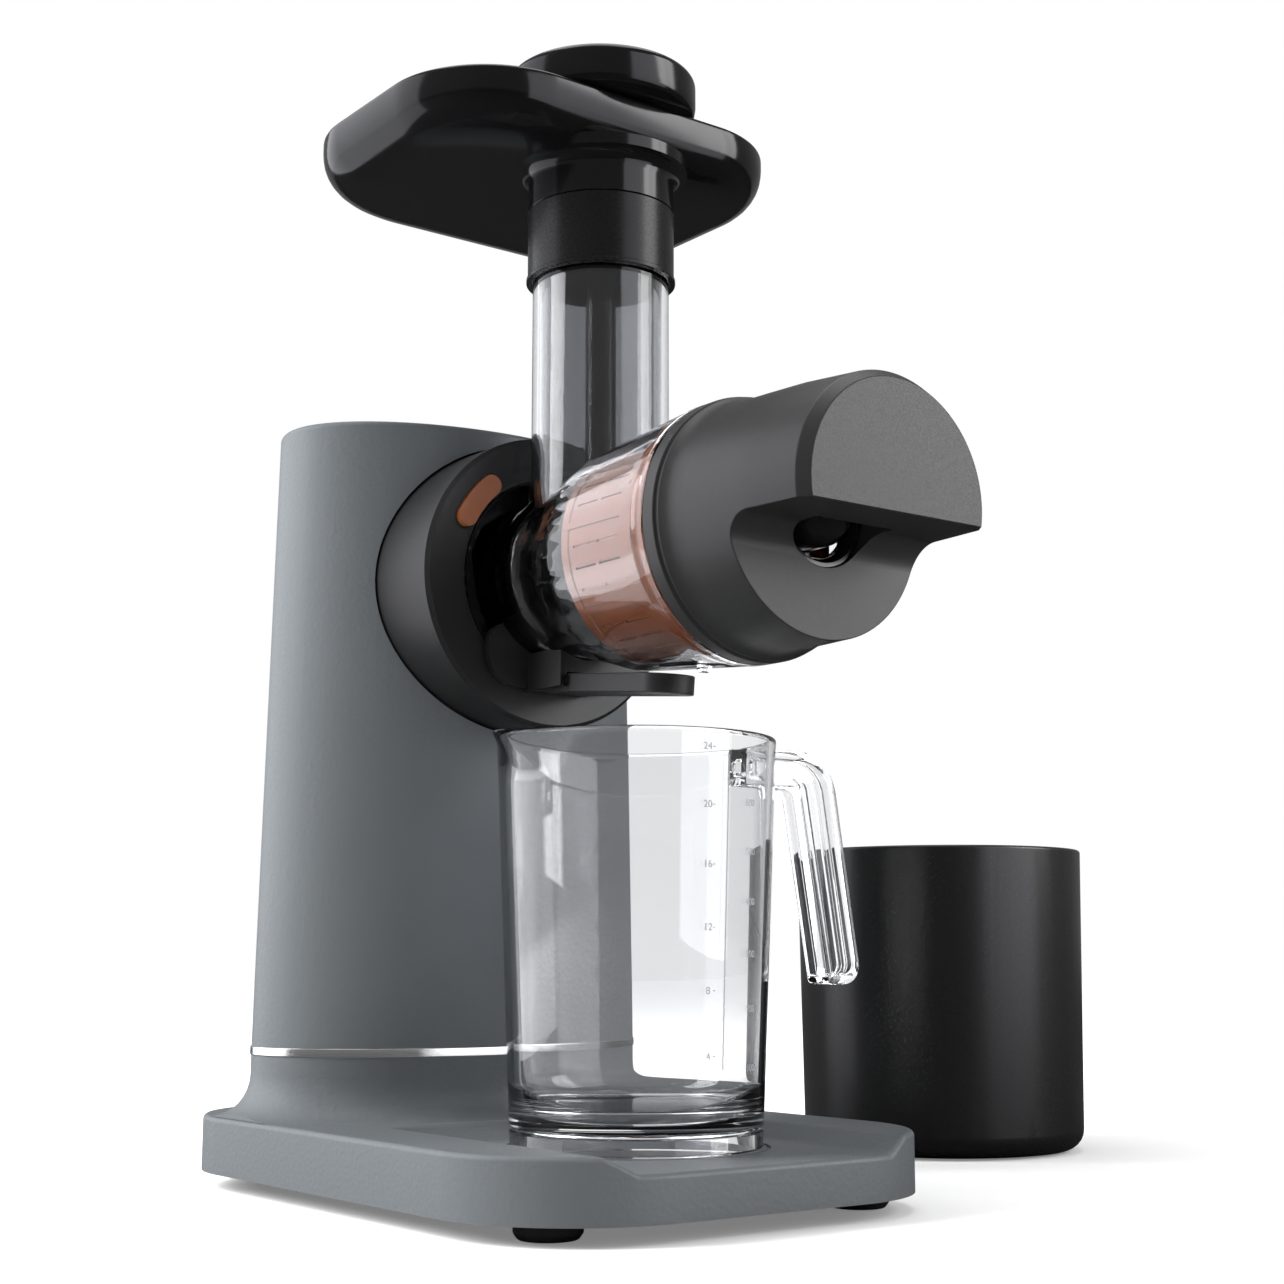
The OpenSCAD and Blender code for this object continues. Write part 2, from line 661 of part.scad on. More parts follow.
tongue_half = 10;
tongue_t = 6.6;
module drip_block() color(satin_black) {
  back = -hub_front - 0.9;
  slot = tongue_half + gap;
  difference() {
    union() {
      along_y(-54, back) drip_plate_2d();
      along_y(-74, back) translate([-13, 175]) square([26, 13.3]);
    }
    // seat round the chamber's neck, which widens in front of the block
    press_spin([[0, 40], [neck_r + 0.05, 40], [neck_r + 0.05, 55.5], [shoulder_r + 0.1, shoulder_front],
      [shoulder_r + 0.1, 80], [0, 80]]);
    translate([0, -drip_front, 160]) cylinder(h = 40, r = 7, $fn = 48);
    // room for the tongue, and the grooves that its rails run in
    drip_tilt() translate([-slot, -60, -14]) cube([2 * slot, 100, 14.3]);
    drip_tilt() translate([-slot - 1.2, -60, -4.3]) cube([2 * slot + 2.4, 100, 2.6]);
  }
}

module drip_slide() color(satin_black) {
  back = 9.1;
  front = -66;
  drip_tilt() {
    translate([0, 0, -0.2 - tongue_t]) linear_extrude(tongue_t) {
      translate([-tongue_half, front + tongue_half]) square([2 * tongue_half, back - front - tongue_half]);
      translate([0, front + tongue_half]) circle(tongue_half);
    }
    translate([-tongue_half - 1.1, back - 22, -4]) cube([2 * tongue_half + 2.2, 22, 2]);
  }
}

module end_cap() color(satin_black) {
  back = flange_front + 0.8;
  slot_r = 9;
  roof_z = 210.3;
  difference() {
    press_spin([[spigot_r + gap, back], [flange_r, back], [flange_r, back + 5.2], [flange_r - 1, back + 5.6],
      [flange_r - 1, back + 6.6], [flange_r - 0.4, back + 7], [41.2, back + 9.1], [40.3, back + 13.6],
      [39.9, back + 27.6], [39.4, hood_front - 24.8], [37.7, hood_front - 3.6], [34.9, hood_front],
      [0, hood_front], [0, face_front - 3], [outlet_r + 4, face_front - 4], [36.4, back + 16],
      [37, back + 9.6], [spigot_r + gap, back + 8.6]]);
    // lower front cut away, with a sweep up to the hood
    along_x(120) union() {
      translate([-face_front - 80, 150]) square([80, roof_z - slot_r - 150]);
      translate([-face_front - 80, 150]) square([80 - slot_r, roof_z - 150]);
      translate([-face_front - slot_r, roof_z - slot_r]) circle(slot_r);
    }
    // pulp outlet, led forward under the hood
    along_y(-face_front - 14, -180) translate([0, axis_z]) circle(outlet_r);
  }
}

module cap_seal() color(gloss_black)
  press_spin([[40.1, flange_front + 0.02], [42.5, flange_front + 0.02], [42.5, flange_front + 0.78],
    [40.1, flange_front + 0.78]]);

module outlet_ring() color(gloss_black)
  press_spin([[13.4, face_front - 6.5], [outlet_r, face_front - 6.5], [outlet_r, face_front - 1.2],
    [15.2, face_front - 1.2], [13.8, face_front - 3.4]]);

// thin layer of the tray: set in by d at height z
module tray_slab(d, z)
  translate([0, 0, z]) linear_extrude(0.2)
    round_rect(-tray_half + d, -tray_front + d, tray_half - d, tray_back - d, tray_r - d, $fn = 56);

tray_r = 41.3;
// outside and inside of the tray as pairs of inset and distance below the rim
tray_outside = [[0.9, 0.2], [0, 1.7], [0, 6], [0.8, 11], [3.2, 15.2], [7.5, 18.2], [14, 19.6], [26, 20.6]];
tray_inside = [[2.6, -0.2], [2.9, 7], [4.6, 11.4], [8.6, 14.4], [15, 16.2], [27, 17]];
module feed_tray() color(gloss_black) {
  seat_z = 347.3;
  difference() {
    union() {
      hull() for (p = tray_outside) tray_slab(p[0], tray_top - p[1]);
      translate([0, -chute_front, seat_z]) cylinder(h = tray_top - seat_z - 10, r = 26.4);
      // fillet between the neck and the underside
      translate([0, -chute_front, 0]) rotate_extrude() polygon(concat([[20, 364]],
        [for (a = [0:15:90]) [31.4 - 5 * cos(a), 357.6 + 5 * sin(a)]], [[31.4, 364]]));
    }
    hull() for (p = tray_inside) tray_slab(p[0], tray_top - p[1]);
    // throat of the chute, and the seat over the chute's top
    translate([0, -chute_front, seat_z - 1]) cylinder(h = 60, r = chute_r - clear_t);
    translate([0, -chute_front, seat_z - 1]) cylinder(h = chute_top + 2.4 - seat_z, r = chute_r + gap);
  }
}

knob_z = 384.3;
pusher_z = 246;
module pusher_body() color([0.3, 0.31, 0.33]) {
  body_r = chute_r - clear_t - 0.5;
  translate([0, -chute_front, 0]) difference() {
    translate([0, 0, pusher_z]) cylinder(h = knob_z - pusher_z, r = body_r);
    translate([0, 0, pusher_z + 2.5]) cylinder(h = knob_z - pusher_z, r = body_r - 2.4);
  }
}

// stiffening rod down the middle of the hollow pusher, held by the knob
module pusher_stem() color(gloss_black) {
  stem_r = 5.5;
  stem_low = pusher_z + 4;
  translate([0, -chute_front, 0]) rotate_extrude($fn = 64) polygon([[0, stem_low], [stem_r - 1, stem_low],
    [stem_r, stem_low + 1], [stem_r, knob_z], [0, knob_z]]);
}

module pusher_knob() color(gloss_black)
  translate([0, -chute_front, 0]) rotate_extrude($fn = 96) polygon([[0, knob_z], [knob_r - 1.5, knob_z],
    [knob_r, knob_z + 1.7], [knob_r, 394.5], [knob_r - 0.9, 397.2], [knob_r - 3.2, 399.2],
    [knob_r - 6, knob_top], [0, knob_top]]);

jug_foot_z = jug_floor_z + 0.1;
// outer radius of the jug at height z
function jug_r(z) = jug_foot_r + (jug_rim_r - jug_foot_r) * (z - jug_foot_z) / (jug_top - jug_foot_z);

// lip of the jug's spout, grown by g
module jug_spout(g) {
  tip_x = -54.2;
  hull() {
    translate([tip_x, 0, jug_top - 1.2]) cylinder(h = 1.2, r = 2.4 + g, $fn = 32);
    translate([-30, 0, jug_top - 1.2]) cylinder(h = 1.2, r = 15 + g, $fn = 32);
    translate([-36, 0, jug_top - 34]) cylinder(h = 1, r = 6 + g, $fn = 32);
  }
}

// side view of the jug's handle, set in by d
module jug_handle_2d(d)
  offset(delta = -d) polygon([[44, jug_top], [68, jug_top], [75.6, 152.7], [81.7, 148.3], [85.5, 142.7],
    [87.5, 134.4], [93, 105], [96.8, 78.8], [94.9, 75], [90.5, 72.1], [82.7, 71.8], [81.1, 74.4],
    [77.9, 92.7], [74.9, 110.5], [72.1, 127.6], [70.1, 137], [67.8, 141.3], [44, 141]]);

handle_half = 5.5;
module juice_jug() color(clear) {
  foot = jug_foot_z;
  inner_floor = foot + 9;
  t = jug_t;
  translate([0, -jug_front, 0]) difference() {
    union() {
      // hollow foot ring, a groove over it, and the wall
      rotate_extrude($fn = 96) polygon([[0, inner_floor - t], [jug_foot_r - 5.2, inner_floor - t],
        [jug_foot_r - 3.4, foot + 5.4], [jug_foot_r - 3, foot], [jug_foot_r, foot],
        [jug_r(foot + 5.4), foot + 5.4], [jug_foot_r - 0.6, foot + 6], [jug_foot_r - 0.6, foot + 6.6], [jug_r(foot + 7.4), foot + 7.4],
        [jug_rim_r, jug_top], [0, jug_top]]);
      jug_spout(t);
      difference() {
        along_y(-handle_half, handle_half) jug_handle_2d(0);
        for (s = [-1, 1]) along_y(s * handle_half - 1.8, s * handle_half + 1.8) intersection() {
          jug_handle_2d(2.6);
          translate([52, 0]) square([60, 200]);
        }
      }
    }
    rotate_extrude($fn = 96) polygon([[0, inner_floor], [jug_r(inner_floor) - t - 12, inner_floor],
      [jug_r(inner_floor) - t - 5, inner_floor + 2.2], [jug_r(inner_floor + 5) - t - 1.6, inner_floor + 6.4],
      [jug_r(inner_floor + 13) - t, inner_floor + 13], [jug_rim_r - t, jug_top + eps], [0, jug_top + eps]]);
    translate([0, 0, eps]) jug_spout(0);
  }
}

module pulp_container() color(satin_black) {
  t = 2.4;
  e = 9;
  arc = [for (a = [0:15:90]) [bin_foot_r - e + e * sin(a), e - e * cos(a)]];
  arc_in = [for (a = [90:-15:0]) [bin_foot_r - e + (e - t) * sin(a), e - (e - t) * cos(a)]];
  translate([bin_x, -11.6, 0]) rotate_extrude($fn = 96)
    polygon(concat([[0, 0]], arc, [[bin_rim_r, bin_h - 0.8], [bin_rim_r - 0.8, bin_h], [bin_rim_r - t, bin_h]],
      arc_in, [[0, t]]));
}

base_plate();
tower_foot();
chrome_band();
bottom_cover();
base_screws();
rubber_feet();
tower_shell();
hub_housing();
bayonet_ring();
shaft_seal();
gearbox_plate();
gearbox_cover();
gearbox_screws();
gear_axles();
shaft_bushes();
motor_can();
motor_endbell();
motor_cradle();
carbon_brushes();
motor_armature();
motor_shaft();
motor_pinion();
cooling_fan();
cluster_gear_a();
cluster_gear_b();
output_gear();
drive_shaft();
circuit_board();
switch_housing();
power_rocker();
rear_vent();
cord_gland();
release_button();
release_spring();
juicing_chamber();
chamber_seal();
chute_collar();
filter_basket();
filter_screen();
auger();
drip_block();
drip_slide();
end_cap();
cap_seal();
outlet_ring();
feed_tray();
pusher_body();
pusher_stem();
pusher_knob();
juice_jug();
pulp_container();
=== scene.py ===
import math
import bpy
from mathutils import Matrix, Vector


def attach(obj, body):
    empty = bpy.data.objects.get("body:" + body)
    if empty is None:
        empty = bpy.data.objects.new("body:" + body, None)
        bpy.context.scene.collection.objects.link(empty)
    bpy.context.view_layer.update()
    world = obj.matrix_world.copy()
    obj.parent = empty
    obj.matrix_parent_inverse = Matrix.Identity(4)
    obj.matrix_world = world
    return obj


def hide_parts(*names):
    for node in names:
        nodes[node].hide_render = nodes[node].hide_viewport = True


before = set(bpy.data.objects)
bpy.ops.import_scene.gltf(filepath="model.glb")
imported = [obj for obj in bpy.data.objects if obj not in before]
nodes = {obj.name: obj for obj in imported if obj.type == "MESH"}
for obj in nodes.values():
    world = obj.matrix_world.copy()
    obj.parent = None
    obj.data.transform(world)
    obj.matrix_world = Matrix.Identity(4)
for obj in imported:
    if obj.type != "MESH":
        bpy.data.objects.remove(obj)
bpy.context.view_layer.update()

mm = 0.001

# ---- camera ----
view = {
    "place": (-0.40203, -0.63294, 0.08216),
    "yaw": 0.64974,      # turned from +Y towards +X
    "pitch": 0.15738,    # looking up
    "lens": 55.333,
    "sensor": 36.0,
}
camData = bpy.data.cameras.new("viewCamera")
camData.lens = view["lens"]
camData.sensor_width = view["sensor"]
camData.clip_start = 0.01
cam = bpy.data.objects.new("viewCamera", camData)
cam.location = view["place"]
cam.rotation_euler = (math.pi / 2 + view["pitch"], 0, -view["yaw"])
bpy.context.scene.collection.objects.link(cam)
bpy.context.scene.camera = cam
print("camera placed")


# ---- material building blocks ----
def newMaterial(name):
    mat = bpy.data.materials.new(name)
    mat.use_nodes = True
    tree = mat.node_tree
    shader = tree.nodes["Principled BSDF"]
    return mat, tree, shader


def addNode(tree, kind, **values):
    node = tree.nodes.new(kind)
    for key, value in values.items():
        if key in node.inputs:
            node.inputs[key].default_value = value
        else:
            setattr(node, key, value)
    return node


def objectCoords(tree, stretch=(1, 1, 1)):
    coords = addNode(tree, "ShaderNodeTexCoord")
    mapping = addNode(tree, "ShaderNodeMapping")
    mapping.inputs["Scale"].default_value = stretch
    tree.links.new(coords.outputs["Object"], mapping.inputs["Vector"])
    return mapping.outputs["Vector"]


def noiseAt(tree, coords, scale, detail=3.0, rough=0.55):
    node = addNode(tree, "ShaderNodeTexNoise", Scale=scale, Detail=detail, Roughness=rough)
    tree.links.new(coords, node.inputs["Vector"])
    return node.outputs["Fac"]


def remap(tree, value, low, high, outLow, outHigh):
    node = addNode(tree, "ShaderNodeMapRange")
    for key, number in (("From Min", low), ("From Max", high), ("To Min", outLow), ("To Max", outHigh)):
        node.inputs[key].default_value = number
    tree.links.new(value, node.inputs["Value"])
    return node.outputs["Result"]


def mixColour(tree, factor, colourA, colourB):
    node = addNode(tree, "ShaderNodeMix", data_type="RGBA")
    node.inputs["A"].default_value = (*colourA, 1)
    node.inputs["B"].default_value = (*colourB, 1)
    tree.links.new(factor, node.inputs["Factor"])
    return node.outputs["Result"]


def bumpFrom(tree, height, strength, distance, after=None):
    node = addNode(tree, "ShaderNodeBump", Strength=strength, Distance=distance)
    tree.links.new(height, node.inputs["Height"])
    if after is not None:
        tree.links.new(after, node.inputs["Normal"])
    return node.outputs["Normal"]


def mouldedPlastic(name, colour, spread, rough, roughSpread, grain, grainDepth, specular=0.5, coat=0.0):
    mat, tree, shader = newMaterial(name)
    coords = objectCoords(tree)
    broad = noiseAt(tree, coords, 14, 2)
    fine = noiseAt(tree, coords, grain, 2)
    darker = tuple(c * (1 - spread) for c in colour)
    lighter = tuple(c * (1 + spread) for c in colour)
    tree.links.new(mixColour(tree, broad, darker, lighter), shader.inputs["Base Color"])
    roughness = remap(tree, fine, 0.3, 0.7, rough - roughSpread, rough + roughSpread)
    tree.links.new(roughness, shader.inputs["Roughness"])
    tree.links.new(bumpFrom(tree, fine, 0.5, grainDepth), shader.inputs["Normal"])
    shader.inputs["Specular IOR Level"].default_value = specular
    shader.inputs["Coat Weight"].default_value = coat
    shader.inputs["Coat Roughness"].default_value = 0.04
    return mat


def hammeredShell(name, colour):
    mat, tree, shader = newMaterial(name)
    coords = objectCoords(tree)
    pebble = addNode(tree, "ShaderNodeTexVoronoi", Scale=620.0, feature="SMOOTH_F1")
    pebble.inputs["Smoothness"].default_value = 0.7
    tree.links.new(coords, pebble.inputs["Vector"])
    fleck = noiseAt(tree, coords, 1500, 2)
    cloud = noiseAt(tree, coords, 9, 2)
    darker = tuple(c * 0.92 for c in colour)
    lighter = tuple(c * 1.07 for c in colour)
    tree.links.new(mixColour(tree, cloud, darker, lighter), shader.inputs["Base Color"])
    tree.links.new(remap(tree, fleck, 0.3, 0.7, 0.42, 0.58), shader.inputs["Roughness"])
    first = bumpFrom(tree, pebble.outputs["Distance"], 0.35, 0.00025)
    tree.links.new(bumpFrom(tree, fleck, 0.25, 0.0001, first), shader.inputs["Normal"])
    shader.inputs["Metallic"].default_value = 0.1
    shader.inputs["Specular IOR Level"].default_value = 0.35
    return mat


def clearPlastic(name, tint, edgeShade, ripple, scratch, ior=1.49):
    mat, tree, shader = newMaterial(name)
    # the colour darkens towards the silhouettes, where the surface turns away from view: painted shade for
    # the dark surroundings seen refracted at the edges
    weight = addNode(tree, "ShaderNodeLayerWeight", Blend=0.5)
    edge = remap(tree, weight.outputs["Facing"], 0.5, 0.95, 0, 1)
    tree.links.new(mixColour(tree, edge, tint, edgeShade), shader.inputs["Base Color"])
    wave = noiseAt(tree, objectCoords(tree), 26, 1)
    scuff = noiseAt(tree, objectCoords(tree, (1, 1, 0.15)), 900, 2)
    tree.links.new(bumpFrom(tree, wave, 0.3, ripple), shader.inputs["Normal"])
    tree.links.new(remap(tree, scuff, 0.45, 0.75, 0.0, scratch), shader.inputs["Roughness"])
    shader.inputs["Transmission Weight"].default_value = 1.0
    shader.inputs["IOR"].default_value = ior
    return mat


def metalFinish(name, colour, rough, grainStretch, grainScale, grainDepth):
    mat, tree, shader = newMaterial(name)
    grain = noiseAt(tree, objectCoords(tree, grainStretch), grainScale, 3)
    shader.inputs["Base Color"].default_value = (*colour, 1)
    shader.inputs["Metallic"].default_value = 1.0
    tree.links.new(remap(tree, grain, 0.3, 0.7, rough * 0.75, rough * 1.3), shader.inputs["Roughness"])
    tree.links.new(bumpFrom(tree, grain, 0.3, grainDepth), shader.inputs["Normal"])
    return mat


def translucentPlastic(name, colour, transmission, rough):
    mat, tree, shader = newMaterial(name)
    coords = objectCoords(tree)
    cloud = noiseAt(tree, coords, 30, 2)
    fine = noiseAt(tree, coords, 900, 2)
    darker = tuple(c * 0.85 for c in colour)
    tree.links.new(mixColour(tree, cloud, darker, colour), shader.inputs["Base Color"])
    tree.links.new(remap(tree, fine, 0.3, 0.7, rough * 0.8, rough * 1.2), shader.inputs["Roughness"])
    tree.links.new(bumpFrom(tree, fine, 0.3, 0.00005), shader.inputs["Normal"])
    shader.inputs["Transmission Weight"].default_value = transmission
    shader.inputs["IOR"].default_value = 1.45
    return mat


def circuitBoardFinish(name):
    mat, tree, shader = newMaterial(name)
    coords = objectCoords(tree, (1, 260, 260))
    brick = addNode(tree, "ShaderNodeTexBrick", Scale=1.0)
    brick.inputs["Color1"].default_value = (0.01, 0.09, 0.03, 1)
    brick.inputs["Color2"].default_value = (0.015, 0.12, 0.045, 1)
    brick.inputs["Mortar"].default_value = (0.05, 0.3, 0.1, 1)
    brick.inputs["Mortar Size"].default_value = 0.05
    tree.links.new(coords, brick.inputs["Vector"])
    tree.links.new(brick.outputs["Color"], shader.inputs["Base Color"])
    shader.inputs["Roughness"].default_value = 0.35
    return mat


finishes = {
    "slateShell": hammeredShell("slateShell", (0.112, 0.122, 0.130)),
    "satinBlack": mouldedPlastic("satinBlack", (0.011, 0.011, 0.0115), 0.12, 0.42, 0.05, 1800, 0.00006, 0.4),
    "hoodBlack": mouldedPlastic("hoodBlack", (0.017, 0.017, 0.0175), 0.12, 0.46, 0.05, 2200, 0.00005, 0.42),
    "glossBlack": mouldedPlastic("glossBlack", (0.004, 0.004, 0.0045), 0.1, 0.14, 0.03, 60, 0.00003, 0.28),
    "collarBlack": mouldedPlastic("collarBlack", (0.006, 0.006, 0.0065), 0.1, 0.28, 0.04, 900, 0.00003, 0.2),
    "binBlack": mouldedPlastic("binBlack", (0.007, 0.007, 0.0075), 0.1, 0.3, 0.03, 1500, 0.00003, 0.45),
    # the second colour of each clear finish is the painted shade at its silhouettes
    "clearWall": clearPlastic("clearWall", (0.925, 0.93, 0.945), (0.35, 0.36, 0.38), 0.00004, 0.03, 1.36),
    "clearJug": clearPlastic("clearJug", (0.87, 0.875, 0.885), (0.30, 0.31, 0.33), 0.00003, 0.03),
    "clearPusher": clearPlastic("clearPusher", (0.38, 0.385, 0.40), (0.25, 0.26, 0.28), 0.00003, 0.04, 1.08),
    "basketOrange": translucentPlastic("basketOrange", (0.17, 0.038, 0.005), 0.16, 0.2),
    "screenOrange": translucentPlastic("screenOrange", (0.24, 0.05, 0.006), 0.3, 0.3),
    "buttonOrange": mouldedPlastic("buttonOrange", (0.30, 0.095, 0.035), 0.08, 0.34, 0.05, 900, 0.00005,
                                   coat=0.2),
    "brightBand": metalFinish("brightBand", (0.90, 0.90, 0.89), 0.2, (1, 1, 60), 140, 0.00002),
    "brushedSteel": metalFinish("brushedSteel", (0.55, 0.55, 0.56), 0.3, (1, 12, 1), 300, 0.00004),
    "turnedBrass": metalFinish("turnedBrass", (0.62, 0.43, 0.16), 0.28, (8, 1, 8), 240, 0.00004),
    "rubber": mouldedPlastic("rubber", (0.010, 0.010, 0.010), 0.15, 0.75, 0.06, 1400, 0.0001, 0.3),
    "board": circuitBoardFinish("board"),
    "windings": metalFinish("windings", (0.55, 0.26, 0.11), 0.35, (1, 90, 1), 60, 0.0002),
    "scaleInk": mouldedPlastic("scaleInk", (0.36, 0.37, 0.39), 0.08, 0.5, 0.08, 1500, 0.00002, 0.3),
}
print("finishes made:", len(finishes))


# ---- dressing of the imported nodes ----
weldGap = 0.01 * mm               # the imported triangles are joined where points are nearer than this
flatLimit = math.radians(0.3)     # faces that turn less than this are one flat face


def addModifier(obj, kind, label, **values):
    mod = obj.modifiers.new(label, kind)
    for key, value in values.items():
        setattr(mod, key, value)
    return mod


def dressNode(name, finish, edge=0.0, segments=3, angle=32.0):
    obj = nodes[name]
    obj.data.materials.clear()
    obj.data.materials.append(finishes[finish])
    obj.data.polygons.foreach_set("use_smooth", [True] * len(obj.data.polygons))
    addModifier(obj, "WELD", "joinTriangles", merge_threshold=weldGap)
    if edge > 0:
        addModifier(obj, "DECIMATE", "flatFaces", decimate_type="DISSOLVE", angle_limit=flatLimit)
        addModifier(obj, "BEVEL", "roundEdges", width=edge * mm, segments=segments, limit_method="ANGLE",
                    angle_limit=math.radians(angle), miter_outer="MITER_ARC")
    addModifier(obj, "WEIGHTED_NORMAL", "cleanShading", keep_sharp=True, weight=60)


# each node's finish, and the width in millimetres of its rounded edges
dressing = {
    "base_plate": ("slateShell", 1.6), "tower_foot": ("slateShell", 0.4),
    "tower_shell": ("slateShell", 2.2), "chrome_band": ("brightBand", 0.3),
    "bottom_cover": ("satinBlack", 0), "base_screws": ("brushedSteel", 0.2),
    "rubber_feet": ("rubber", 0.6), "hub_housing": ("satinBlack", 0.8),
    "bayonet_ring": ("glossBlack", 0.4), "shaft_seal": ("rubber", 0),
    "gearbox_plate": ("satinBlack", 0.4), "gearbox_cover": ("satinBlack", 0.4),
    "gearbox_screws": ("brushedSteel", 0.2), "gear_axles": ("brushedSteel", 0),
    "shaft_bushes": ("turnedBrass", 0), "motor_can": ("brushedSteel", 0.4),
    "motor_endbell": ("satinBlack", 0.4), "motor_cradle": ("satinBlack", 0.4),
    "carbon_brushes": ("rubber", 0.2), "motor_armature": ("windings", 0),
    "motor_shaft": ("brushedSteel", 0), "motor_pinion": ("turnedBrass", 0),
    "cooling_fan": ("satinBlack", 0), "cluster_gear_a": ("turnedBrass", 0),
    "cluster_gear_b": ("turnedBrass", 0), "output_gear": ("turnedBrass", 0),
    "drive_shaft": ("brushedSteel", 0.3), "circuit_board": ("board", 0.2),
    "switch_housing": ("glossBlack", 0.4), "power_rocker": ("satinBlack", 0.6),
    "rear_vent": ("satinBlack", 0), "cord_gland": ("rubber", 0.5),
    "release_button": ("buttonOrange", 1.4), "release_spring": ("brushedSteel", 0),
    "juicing_chamber": ("clearWall", 0.3), "chamber_seal": ("rubber", 0.2),
    "chute_collar": ("collarBlack", 0.4), "filter_basket": ("basketOrange", 0.3),
    "filter_screen": ("screenOrange", 0), "auger": ("glossBlack", 0),
    "drip_block": ("satinBlack", 0.5), "drip_slide": ("satinBlack", 0.8),
    "end_cap": ("hoodBlack", 0.7), "cap_seal": ("rubber", 0),
    "outlet_ring": ("glossBlack", 0.3), "feed_tray": ("glossBlack", 1.4),
    "pusher_body": ("clearPusher", 0.4), "pusher_stem": ("glossBlack", 0.4),
    "pusher_knob": ("glossBlack", 0.8), "juice_jug": ("clearJug", 0.5),
    "pulp_container": ("binBlack", 0.5),
}
for name, (finish, edge) in dressing.items():
    dressNode(name, finish, edge)
print("nodes dressed:", len(dressing))


# ---- modelling steps ----
joinGap = 0.002 * mm    # points nearer than this become one


def clearSelection():
    bpy.ops.object.select_all(action="DESELECT")


def pickPiece(piece):
    clearSelection()
    piece.select_set(True)
    bpy.context.view_layer.objects.active = piece


def unselectParts(kind):
    # clears the selection of the active mesh, for the kind of part that is chosen next
    bpy.ops.object.mode_set(mode="EDIT")
    bpy.ops.mesh.select_mode(type=kind)
    bpy.ops.mesh.select_all(action="DESELECT")
    bpy.ops.object.mode_set(mode="OBJECT")


def edgeNormals(piece):
    # the normals of the faces on both sides of each edge
    sides = {}
    for poly in piece.data.polygons:
        for key in poly.edge_keys:
            sides.setdefault(key, []).append(poly.normal.copy())
    return sides


def startPoint(name, place):
    clearSelection()
    bpy.ops.mesh.primitive_plane_add(size=mm)
    piece = bpy.context.object
    piece.name = name
    bpy.ops.object.mode_set(mode="EDIT")
    bpy.ops.mesh.select_mode(type="VERT")
    bpy.ops.mesh.select_all(action="SELECT")
    bpy.ops.mesh.merge(type="CENTER")
    bpy.ops.transform.translate(value=place)
    return piece


def extrudeAlong(points):
    for before, after in zip(points, points[1:]):
        bpy.ops.mesh.extrude_vertices_move(TRANSFORM_OT_translate={"value": after - before})


def finishShape(piece, finish, angle=35.0):
    bpy.ops.mesh.select_all(action="SELECT")
    bpy.ops.mesh.remove_doubles(threshold=joinGap)
    bpy.ops.mesh.normals_make_consistent(inside=False)
    bpy.ops.object.mode_set(mode="OBJECT")
    bpy.ops.object.shade_smooth_by_angle(angle=math.radians(angle))
    piece.data.materials.clear()
    piece.data.materials.append(finishes[finish])


def turnedPiece(name, profile, centre, axis, finish, steps=128, angle=35.0):
    # profile points are (radius, distance along the axis), in millimetres
    axis = Vector(axis)
    points = [Vector(centre) + Vector((r * mm, 0, 0)) + axis * h * mm for r, h in profile]
    piece = startPoint(name, points[0])
    extrudeAlong(points)
    bpy.ops.mesh.select_all(action="SELECT")
    bpy.ops.mesh.spin(steps=steps, angle=2 * math.pi, center=centre, axis=axis, use_auto_merge=True)
    finishShape(piece, finish, angle)
    return piece


def arcPoints(centre, radius, start, end, count):
    # points of an arc, with its angles in degrees from the +radius direction
    angles = [math.radians(start + (end - start) * i / count) for i in range(count + 1)]
    return [(centre[0] + radius * math.cos(a), centre[1] + radius * math.sin(a)) for a in angles]


def roundedOutline(corners, segments=8):
    # corners are (x, z, radius); each is replaced by an arc
    outline = []
    for i, (x, z, radius) in enumerate(corners):
        here = Vector((x, z))
        before = (Vector(corners[i - 1][:2]) - here).normalized()
        after = (Vector(corners[(i + 1) % len(corners)][:2]) - here).normalized()
        if radius == 0:
            outline.append((x, z))
            continue
        half = before.angle(after) / 2
        start = here + before * radius / math.tan(half)
        end = here + after * radius / math.tan(half)
        centre = here + (before + after).normalized() * radius / math.sin(half)
        first, last = start - centre, end - centre
        for k in range(segments + 1):
            share = k / segments
            spoke = first.slerp(last, share)
            outline.append(tuple(centre + spoke.normalized() * radius))
    return outline


def applyModifier(piece, kind, label, **values):
    pickPiece(piece)
    addModifier(piece, kind, label, **values)
    bpy.ops.object.modifier_apply(modifier=label)


def combine(piece, other, operation):
    applyModifier(piece, "BOOLEAN", operation.lower(), operation=operation, object=other, solver="EXACT")
    bpy.data.objects.remove(other)


def keepPiece(piece, body, slot, *replaced):
    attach(piece, body)
    if replaced:
        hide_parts(*replaced)
    print("piece made:", piece.name, len(piece.data.polygons), "faces")


# ---- base and tower with rounded edges ----
def reshapedCopy(nodeName, pieceName, finish, flatten):
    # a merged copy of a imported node, to be reshaped into a new piece
    piece = nodes[nodeName].copy()
    piece.data = nodes[nodeName].data.copy()
    piece.modifiers.clear()
    piece.name = pieceName
    bpy.context.scene.collection.objects.link(piece)
    pickPiece(piece)
    bpy.ops.mesh.customdata_custom_splitnormals_clear()
    bpy.ops.object.mode_set(mode="EDIT")
    bpy.ops.mesh.select_all(action="SELECT")
    bpy.ops.mesh.remove_doubles(threshold=weldGap)
    if flatten:
        bpy.ops.mesh.dissolve_limited(angle_limit=flatLimit)
    bpy.ops.object.mode_set(mode="OBJECT")
    piece.data.materials.clear()
    piece.data.materials.append(finishes[finish])
    return piece


